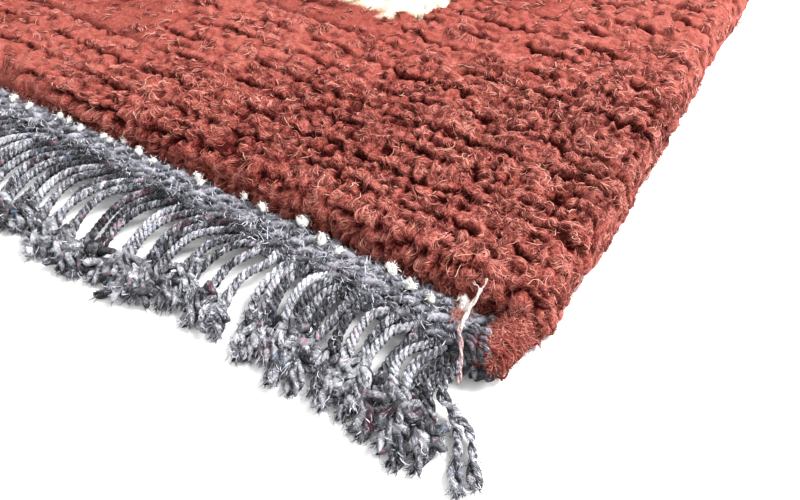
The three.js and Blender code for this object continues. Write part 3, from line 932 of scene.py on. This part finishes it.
# The strands at the photographed corner, each as it lies there: they bow aside, touch and cross. The very
# last one has parted into singles that end in brushes. Each row is one strand's route across and along in
# mm, from the ridge.
LAST_STRANDS = np.array([
    [(200.5, -443.4), (194.6, -447.0), (190.8, -452.0), (189.4, -458.0), (189.6, -465.0), (191.0, -476.0)],
    [(205.6, -443.3), (200.4, -446.5), (196.7, -451.0), (194.4, -457.5), (192.6, -463.5), (195.0, -475.5)],
    [(206.0, -444.0), (203.6, -450.8), (201.4, -455.0), (201.0, -461.5), (200.3, -467.0), (203.0, -477.0)],
    [(211.2, -443.5), (211.0, -449.0), (207.6, -454.5), (206.8, -460.8), (208.0, -468.0), (213.0, -475.5)],
    [(219.6, -444.4), (217.9, -450.0), (217.7, -455.0), (219.6, -460.5), (221.6, -466.5), (225.0, -477.0)],
    [(222.9, -443.3), (221.0, -449.5), (221.0, -455.5), (222.2, -461.5), (225.0, -467.0), (229.0, -475.0)],
    [(229.3, -442.6), (226.4, -448.0), (225.8, -454.0), (227.0, -460.0), (229.4, -466.5), (231.0, -475.5)],
    [(232.0, -443.5), (229.8, -449.0), (229.2, -454.5), (229.8, -460.0), (231.5, -466.0), (234.5, -477.0)],
    [(235.4, -444.7), (232.8, -450.0), (232.5, -455.8), (232.6, -461.5), (234.5, -468.0), (235.0, -480.0)],
    [(237.5, -444.0), (236.0, -449.5), (235.8, -455.0), (235.8, -460.5), (236.5, -466.0), (237.5, -474.0)],
    [(239.6, -444.0), (240.0, -449.0), (239.4, -456.0), (238.0, -462.5), (239.0, -470.0), (241.8, -479.0)],
    [(244.3, -444.0), (243.6, -449.5), (243.3, -454.5), (243.8, -460.0), (245.5, -466.0), (248.0, -477.5)],
    [(252.1, -445.0), (248.8, -448.8), (247.9, -454.0), (248.3, -460.0), (249.8, -466.5), (251.0, -479.0)],
    [(254.5, -445.0), (252.9, -450.5), (252.5, -455.5), (253.0, -461.0), (255.0, -467.5), (257.5, -478.5)],
    [(260.4, -446.5), (256.4, -450.6), (254.9, -455.5), (254.4, -461.3), (256.0, -468.0), (259.0, -475.0)],
    [(262.8, -447.5), (261.0, -453.5), (260.0, -459.0), (260.5, -465.5), (262.2, -473.0), (265.0, -480.0)],
    [(267.5, -449.0), (263.2, -453.0), (261.9, -458.0), (264.6, -463.3), (269.5, -467.8), (276.8, -469.0)],
    [(270.0, -450.5), (267.2, -455.0), (266.6, -459.5), (268.8, -464.5), (270.8, -471.0), (270.0, -481.0)],
    [(273.0, -452.0), (270.2, -456.5), (269.8, -461.0), (272.2, -465.5), (273.9, -472.2), (275.7, -482.6)],
    [(275.5, -452.5), (274.2, -456.0), (273.2, -460.0), (274.4, -465.0), (277.0, -471.0), (280.3, -477.0)]])
LAST_TONES = np.array(
    [-1.2, 0.4, -1.6, -1.2, 0.8, 0.2, 1.3, -1.5, 1.2, -1.8,
     1.0, -2.2, 1.0, 0.3, 0.0, -1.2, 1.6, 0.6, -1.0, -0.6])
# The thin strand that stands alone, and the last one before it parts.
THIN_STRANDS = np.array([
    [(216.8, -446.0), (214.8, -453.0), (214.8, -458.5), (216.8, -465.0), (219.2, -472.0), (222.4, -478.3)],
    [(277.6, -447.5), (277.0, -451.5), (276.2, -455.6), (276.4, -459.0), (279.0, -461.0), (282.2, -462.2)]])
LAST_SINGLES = np.array([
    [(280.0, -461.0, 3.0), (282.6, -463.2, 2.5), (284.9, -465.8, 2.2), (286.8, -469.0, 2.0),
     (288.3, -472.4, 1.8), (289.8, -476.2, 1.7), (292.8, -479.4, 1.7)],
    [(279.6, -460.8, 3.4), (283.0, -462.0, 2.9), (286.5, -463.4, 2.6), (289.4, -466.2, 2.2),
     (291.2, -469.2, 1.9), (292.7, -472.3, 1.9), (296.0, -476.2, 2.0)],
    [(272.6, -457.6, 5.6), (273.0, -459.6, 5.0), (274.4, -461.8, 4.0), (276.8, -464.6, 2.8),
     (279.7, -468.2, 2.0), (280.5, -474.0, 1.7), (281.1, -480.9, 1.7)]])
# How high the strands lie, by how far along the rug they are from its middle.
LIE_ALONG = np.array([440.0, 443.0, 446.0, 452.0, 460.0, 468.0, 485.0])
LIE_HEIGHT = np.array([4.6, 6.4, 7.4, 7.0, 4.8, 2.6, 2.2])


def lying(routes):
    """Routes with a root added under the ridge, and the height at which each point lies."""
    plan = np.concatenate([routes[:, :1] + (0.6, 3.0), routes], 1)
    number = np.arange(len(routes))[:, None]
    lift = 0.7 * scattered(number, 91) * (np.arange(plan.shape[1]) > 1)
    height = np.interp(-plan[..., 1], LIE_ALONG, LIE_HEIGHT) + lift
    return np.concatenate([plan, np.maximum(height, 1.7)[..., None]], -1)


def drawn_through(routes, stations):
    """Smooth courses with that many stations through the points of each route."""
    knots = np.arange(routes.shape[1])
    at = np.linspace(0, knots[-1], stations)
    smooth = np.stack([[flowing(knots, line, at) for line in route.T] for route in routes])
    return np.moveaxis(smooth, 1, 2)


last_courses, thin_courses = drawn_through(lying(LAST_STRANDS), 60), drawn_through(lying(THIN_STRANDS), 50)
single_courses = drawn_through(LAST_SINGLES, 46)
fringe_pieces += [
    yarn_piece("strands_last", "fringe_front", "fringe_yarn", last_courses, STRAND_THICKNESS, STRAND_TWIST, 4,
               fringe_yarn, loose=0.16, tone=0.65 * LAST_TONES, shaded_root=ROOT_SHADE),
    yarn_piece("strands_thin", "fringe_front", "fringe_yarn", thin_courses, 3.1, 5.0, 5, fringe_yarn,
               loose=0.12, plies=2),
    yarn_piece("singles_last", "fringe_front", "fringe_yarn", single_courses, 2.8, 8.0, 5, fringe_yarn,
               loose=0.2, plies=2),
    *curl_pieces("curls_last", "fringe_front", last_courses[:, ::2], 6, 9, 5, fibres=22),
    strand_fuzz("tips_last", "fringe_front", last_courses, 56, 70, 44),
    strand_fuzz("tips_thin", "fringe_front", thin_courses, 60, 40, 50),
    strand_fuzz("tips_single", "fringe_front", single_courses, 50, 40, 50),
]

# The headings: at each end two rows of the grey yarn twined across the warps, then a darker plaited ridge
# that holds the fringe, all lying on a low band. They stop the pile's rows from slipping off the warps.
HEADING_INNER, BAND_UNDER_PILE, BAND_PAST_RIDGE = 431.0, 2.5, 1.5
HEADING_HALF_WIDTH = 283.5
CORD_THICKNESS, RIDGE_THICKNESS = 4.8, 3.8
CORD_TWIST = 11.6
RIDGE_ACROSS = np.array([-300.0, -150.0, 0.0, 84.0, 123.0, 160.0, 205.0, 230.0, 254.0, 272.0, 300.0])
RIDGE_AT = np.array([440.0, 440.5, 440.0, 440.0, 440.2, 440.8, 441.6, 442.6, 444.0, 445.6, 446.0])
HEADING_GREY = (16, 17, 23), (126, 126, 137), (222, 222, 234)
RIDGE_GREY = (10, 11, 14), (76, 77, 85), (176, 177, 187)
HEADING_FIBRES = 4700


def heading_cord(name, node, end, share, height, thickness, stations, sides, finish):
    """A two-ply cord across the rug, that share of the way from the pile to the ridge, at a height that
    wavers on a smooth random value, as the ridge's own line does."""
    x = np.linspace(-HEADING_HALF_WIDTH, HEADING_HALF_WIDTH, stations)
    ridge = flowing(RIDGE_ACROSS, RIDGE_AT, x) + 0.8 * drift(x, 0 * x + share * 20, 14, 51)
    y = end * (HEADING_INNER + 1.2 + share * (ridge - HEADING_INNER - 1.2))
    z = height + 0.7 * drift(x, 0 * x + share * 40, 9, 52)
    course = np.stack([laid(x, y), y, z], -1)[None]
    return yarn_piece(name, node, "heading_yarn", course, thickness, CORD_TWIST, sides, finish, plies=2)


def heading_band(name, node, end, columns):
    """The low band under the cords, from a little way under the pile to just past the ridge: its height is
    an arch across its depth, with slanted stitches raised on it as the size of a sine."""
    across = np.linspace(-HEADING_HALF_WIDTH, HEADING_HALF_WIDTH, columns)
    x, share = np.meshgrid(across, np.linspace(0, 1, 12))
    ridge, spare = flowing(RIDGE_ACROSS, RIDGE_AT, x), BAND_UNDER_PILE + BAND_PAST_RIDGE
    y = HEADING_INNER - BAND_UNDER_PILE + share * (ridge + spare - HEADING_INNER)
    if end < 0:
        x, share, y = x[::-1], share[::-1], y[::-1]
    stitch = np.abs(np.sin(math.pi * (2 * x / CORD_TWIST + 0.7 * share * end)))
    lumps = 0.9 * drift(x, y, 3.3, 53) + 0.7 * drift(x, y, 1.7, 54)
    z = 5.6 + 1.4 * stitch - 1.8 * (2 * share - 1) ** 2 - 3.0 * share**8 + lumps * (1 - share**8)
    points, faces, rim = slab(np.stack([laid(x, end * y), end * y, z], -1), 0.3)
    grain = np.stack([x * 0.5, y * 1.2, z], -1).reshape(-1, 3)
    # Painted shade: darker between the stitches and in the dips among the lumps.
    hollow = np.clip(0.7 - stitch - 0.5 * lumps, 0, 1).ravel()
    grain, hollow = np.concatenate([grain, grain[rim]]), np.concatenate([hollow, hollow[rim]])
    return sewn(name, points, faces, heading_yarn, "heading_yarn", node, grain=grain,
                tone=np.zeros(len(points)), hollow=hollow)


def fuzz(name, roots, outward, along, finish, slot, node, length, width, segments, tone):
    """Stray fibres of yarn: from roots on its surface, lying mostly along it and lifting off outward."""
    random, count = yarn_random, len(roots)
    aim = along * random.normal(0, 0.9, (count, 1)) + outward * random.uniform(0.0, 0.3, (count, 1))
    aim += random.normal(0, 0.25, (count, 3))
    lengths, widths = length * random.uniform(0.4, 1.5, count), width * random.uniform(0.6, 1.3, count)
    bend, twist = random.normal(0, 1.4, count), random.normal(0, 1.5, count)
    tilt = outward + random.normal(0, 0.5, (count, 3))
    made = ribbons(roots, aim, lengths, widths, bend, twist, segments, tilt)
    return fibre_piece(name, made, random.normal(tone, 0.28, count), finish, slot, node)


heading_yarn = yarn_finish("heading_yarn", HEADING_GREY, flecked=2.0, lumpy=2.1, nubs=0.4)
ridge_yarn = yarn_finish("ridge_yarn", RIDGE_GREY, flecked=1.7, lumpy=1.6, nubs=0.3)
for end_name, end, coarseness in (("front", -1, 1), ("back", 1, 2)):
    node = f"heading_{end_name}"
    heading_band(node + "_band", node, end, 560 // coarseness)
    for cord_name, share, height, thickness, finish in (
        ("inner", 0.22, 6.2, CORD_THICKNESS, heading_yarn), ("outer", 0.6, 6.0, CORD_THICKNESS, heading_yarn),
        ("ridge", 1.0, 6.8, RIDGE_THICKNESS, ridge_yarn),
    ):
        heading_cord(f"{node}_{cord_name}", node, end, share, height, thickness,
                                           460 // coarseness, 6 - coarseness, finish)
fibre_x = yarn_random.uniform(40, HEADING_HALF_WIDTH - 5, HEADING_FIBRES)
fibre_share = yarn_random.uniform(0.1, 1.05, HEADING_FIBRES)
fibre_y = -(HEADING_INNER + fibre_share * (flowing(RIDGE_ACROSS, RIDGE_AT, fibre_x) + 2 - HEADING_INNER))
fibre_at = np.stack([laid(fibre_x, fibre_y), fibre_y, yarn_random.uniform(6.2, 9.0, HEADING_FIBRES)], -1)
fibre_up, fibre_along = np.array([0.0, -0.3, 1.0]), np.array([0.8, -0.6, 0.0])
fuzz("heading_front_fuzz", fibre_at, fibre_up, fibre_along, yarn_fibre, "heading_yarn",
                           "heading_front", 2.4, 0.14, 3, 0.62)

# The cream knots: ends of the cotton warps that were cut and tied between the pile and the front heading,
# each a small hard knot that stands up out of the grey yarn.
KNOTS = np.array([
    # x, y, size
    (79.4, -434.6, 1.3), (88.3, -434.7, 1.1), (102.7, -432.8, 1.3), (107.9, -433.2, 1.2),
    (115.1, -434.2, 1.3), (125.8, -433.1, 1.2), (129.3, -433.6, 0.9), (133.6, -431.1, 1.1),
    (142.1, -432.3, 1.5), (150.1, -433.6, 0.9), (168.8, -431.9, 1.4), (171.6, -433.6, 1.0),
    (188.4, -431.4, 1.1), (196.4, -432.4, 1.5), (211.5, -431.1, 2.4), (220.8, -433.9, 1.9),
    (227.8, -435.0, 1.2), (245.1, -432.8, 1.9), (252.7, -435.3, 1.8), (260.4, -436.6, 1.2),
    (269.4, -433.6, 2.0)])
KNOT_HEIGHT = 8.8
KNOT_FIBRES = 760
KNOT_WHITE = (206, 198, 184), (252, 248, 240), (255, 255, 252)


def knot_piece():
    """Each knot is a ball whose radius is lumpy on a smooth random value. It is drawn out along its own
    length, which lies nearly one way in all of them, and flattened across."""
    around = np.linspace(0, 2 * math.pi, 12, endpoint=False)[None, None]
    up = np.linspace(0.04, math.pi - 0.04, 9)[None, :, None]
    middle_x, middle_y, size = KNOTS.T[:, :, None, None]
    number = np.arange(len(KNOTS))[:, None, None]
    lump = size * (0.95 + 0.42 * drift(around * 2 + number * 9, up * 2, 1.1, 61))
    long = lump * np.sin(up) * np.cos(around) * (1.3 + 0.3 * scattered(number, 62))
    wide = lump * np.sin(up) * np.sin(around) * 0.75
    turned = 0.5 * scattered(number, 63) - 0.9
    x = middle_x + long * np.cos(turned) - wide * np.sin(turned)
    y = middle_y + long * np.sin(turned) + wide * np.cos(turned)
    points, faces = tube(np.stack([x, y, KNOT_HEIGHT + lump * np.cos(up) * 0.9], -1))
    plain = np.zeros(len(points))
    cotton = yarn_finish("knot_cotton", KNOT_WHITE)
    return sewn("knots", points, faces, cotton, "knot_cotton", "heading_front",
                grain=points * 0.8, tone=plain, hollow=plain)


knots = knot_piece()
knot_of = yarn_random.integers(0, len(KNOTS), KNOT_FIBRES)
knot_spin = yarn_random.normal(0, 1, (KNOT_FIBRES, 3)) * (1, 1, 0.5) + (0, 0, 0.5)
knot_spin /= np.linalg.norm(knot_spin, axis=1, keepdims=True)
knot_middle = np.c_[KNOTS[knot_of, :2], np.full(KNOT_FIBRES, KNOT_HEIGHT)]
knot_at = knot_middle + knot_spin * (1.1 * KNOTS[knot_of, 2:])
knot_fuzz = fuzz("knot_fuzz", knot_at, knot_spin, np.cross(knot_spin, (0.3, 0.5, 0.8)),
                 fibre_finish("knot_fibre", KNOT_WHITE), "knot_cotton", "heading_front", 1.2, 0.17, 3, 0.6)

# The loose thread at the photographed corner: a length of pale, slack yarn caught under the pile, that lies
# over the heading's end and drops to the floor. Beside it the cut core of the selvedge shows, grey yarn
# ends in a bunch, under the last slack turns of the wrapping.
THREAD_COURSE = np.array([
    (272.8, -430.5, 14.8), (272.5, -433.0, 13.0), (272.2, -435.6, 11.8), (272.4, -438.6, 11.2),
    (272.8, -442.9, 10.6), (275.5, -446.9, 9.4), (277.8, -451.6, 7.4), (279.2, -454.6, 4.2)])
THREAD_ENDS = np.array([
    [(272.6, -431.4, 14.2), (273.2, -429.6, 15.6), (273.2, -429.0, 16.2), (273.0, -428.4, 17.2)],
    [(272.6, -431.6, 14.0), (271.6, -430.4, 15.0), (270.8, -430.6, 15.4), (269.8, -430.0, 15.6)]])
THREAD_PALE = (150, 112, 116), (206, 178, 178), (250, 238, 228)
CORE_COURSES = np.array([
    [(275.2, -438.0, 8.2), (276.2, -441.6, 9.0), (277.6, -445.4, 8.6), (278.6, -449.2, 6.8)],
    [(275.0, -438.0, 4.6), (275.8, -442.4, 5.2), (276.6, -447.0, 4.8), (277.4, -451.4, 3.4)],
    [(279.0, -438.0, 8.6), (280.0, -441.4, 9.6), (281.4, -444.6, 9.0), (282.0, -447.8, 7.0)],
    [(279.4, -438.0, 4.4), (280.4, -442.4, 4.8), (281.2, -446.6, 4.4), (281.4, -450.6, 3.0)],
    [(283.0, -438.0, 5.4), (283.8, -442.0, 5.8), (284.2, -445.6, 5.2), (284.4, -449.4, 3.2)]])
LOOPS, LOOPS_FROM, LOOPS_TO, LOOPS_LAST = 9, 432.0, 445.2, 447.5
LOOP_THICKNESS = 1.2


def loop_courses(stations):
    """The last turns of the wrapping wool, each a slack loop round the edge: an ellipse in section whose
    size and slant vary from loop to loop, and wander along it on a smooth random value."""
    random = yarn_random
    number = np.arange(LOOPS)[:, None]
    spin = np.linspace(-0.7 * math.pi, 1.35 * math.pi, stations)[None]
    spin = spin + random.uniform(-0.5, 0.5, (LOOPS, 1))
    size = random.uniform(0.95, 1.25, (LOOPS, 1)) + 0.16 * drift(spin * 2, number * 3.0, 1.6, 81)
    y = np.linspace(LOOPS_FROM, LOOPS_TO, LOOPS)[:, None] + random.normal(0, 2.2, (LOOPS, 1)) * np.sin(spin)
    y = np.minimum(y + 1.4 * np.cos(spin) + 1.6 * drift(spin * 2, number * 3.0, 2.0, 82), LOOPS_LAST)
    x = SELVEDGE_MIDDLE + 0.8 + WRAP_HALF_WIDTH * 0.9 * size * np.cos(spin)
    z = np.maximum(SELVEDGE_LIFT + WRAP_HALF_HEIGHT * size * np.sin(spin), 1.0)
    return np.stack([laid(x, -y), -y, z], -1)


thread_yarn = yarn_finish("thread_yarn", THREAD_PALE)
thread_high = drawn_through(THREAD_COURSE[None, :5], 40)
thread_low = drawn_through(THREAD_COURSE[None, 3:], 40)
corner_pieces = [
    yarn_piece("loose_thread", "heading_front", "heading_yarn", thread_high, 1.3, 9.0, 6, thread_yarn,
               plies=2, tone=2.0),
    yarn_piece("loose_thread_low", "heading_front", "heading_yarn", thread_low, 1.4, 9.0, 6, thread_yarn,
               plies=2, tone=-0.6),
    yarn_piece("thread_ends", "heading_front", "heading_yarn", drawn_through(THREAD_ENDS, 24), 0.5, 4.0, 5,
               thread_yarn, loose=0.3, plies=2, tone=2.5),
    yarn_piece("selvedge_core", "selvedge_right", "heading_yarn", drawn_through(CORE_COURSES, 26), 3.9, 5.0,
               6, fringe_yarn, loose=0.1, tone=-2.0),
    yarn_piece("selvedge_loops", "selvedge_right", "selvedge_wool", loop_courses(26), LOOP_THICKNESS, 9.0, 5,
               selvedge_wool, plies=1, blunt=1.5),
]

# A wisp of the rust wool that came off the wrapping. It is caught under the thread, and felted onto the
# heading's end.
WISP_MIDDLE, WISP_REACH, WISP_FIBRES = (270.2, -437.0, 9.3), (1.1, 1.8, 0.4), 240
wisp_at = yarn_random.normal(0, 1, (WISP_FIBRES, 3)) * WISP_REACH + WISP_MIDDLE
corner_pieces.append(fuzz("caught_wisp", wisp_at, np.array([0.0, 0.0, 1.0]), np.array([0.3, -0.9, 0.0]),
                          wool_fibre, "selvedge_wool", "selvedge_right", 1.9, 0.11, 4, 0.85))

# A plain white studio floor, white light from all round and a soft key light from behind on the right, and
# the camera at the photographed corner.
FLOOR_WHITE = (252, 252, 252)
FLOOR_REACH = 6
STUDIO_STRENGTH = 1.22
KEY_PLACE, KEY_TARGET, KEY_SIZE, KEY_POWER = (0.88, 0.3, 1.0), (0.2, -0.35, 0.0), 0.6, 44
CAMERA_PITCH, CAMERA_ROLL = math.radians(48.09), math.radians(-0.71)
FOCAL_PIXELS, IMAGE_WIDTH, SENSOR_WIDTH = 694.0, 800, 36.0
floor_finish = Finish("floor_white", 0.9)
floor_finish.done(dyed(*FLOOR_WHITE))
floor_mesh = bpy.data.meshes.new("floor")
floor_corners = [(x * FLOOR_REACH, y * FLOOR_REACH, 0) for x, y in ((-1, -1), (1, -1), (1, 1), (-1, 1))]
floor_mesh.from_pydata(floor_corners, [], [(0, 1, 2, 3)])
floor_mesh.materials.append(floor_finish.material)
floor = bpy.data.objects.new("floor", floor_mesh)
floor.location = (0, 0, -0.0002)
bpy.context.scene.collection.objects.link(floor)

world = bpy.data.worlds.new("studio")
world.use_nodes = True
world.node_tree.nodes["Background"].inputs["Color"].default_value = (1, 1, 1, 1)
world.node_tree.nodes["Background"].inputs["Strength"].default_value = STUDIO_STRENGTH
bpy.context.scene.world = world

key_light = bpy.data.lights.new("key", "AREA")
key_light.size, key_light.energy = KEY_SIZE, KEY_POWER
key = bpy.data.objects.new("key", key_light)
key_aim = np.array(KEY_TARGET) - KEY_PLACE
key.location = KEY_PLACE
key_pitch = math.atan2(math.hypot(*key_aim[:2]), -key_aim[2])
key.rotation_euler = (key_pitch, 0, math.atan2(-key_aim[0], key_aim[1]))
bpy.context.scene.collection.objects.link(key)

camera_data = bpy.data.cameras.new("camera")
camera_data.sensor_width = SENSOR_WIDTH
camera_data.lens = FOCAL_PIXELS / IMAGE_WIDTH * SENSOR_WIDTH
camera_data.clip_start = 0.005
camera = bpy.data.objects.new("camera", camera_data)
camera.location = (EYE_X * MM, EYE_Y * MM, EYE_Z * MM)
look = np.array([math.sin(EYE_YAW) * math.cos(CAMERA_PITCH), math.cos(EYE_YAW) * math.cos(CAMERA_PITCH),
                 -math.sin(CAMERA_PITCH)])
right = np.cross(look, (0, 0, 1))
right /= np.linalg.norm(right)
upward = np.cross(right, look)
turned = right * math.cos(CAMERA_ROLL) + upward * math.sin(CAMERA_ROLL)
stood = upward * math.cos(CAMERA_ROLL) - right * math.sin(CAMERA_ROLL)
camera.rotation_euler = Matrix(np.stack([turned, stood, -look], 1).tolist()).to_euler()
bpy.context.scene.collection.objects.link(camera)
bpy.context.scene.camera = camera
bpy.context.scene.view_settings.view_transform = "Standard"
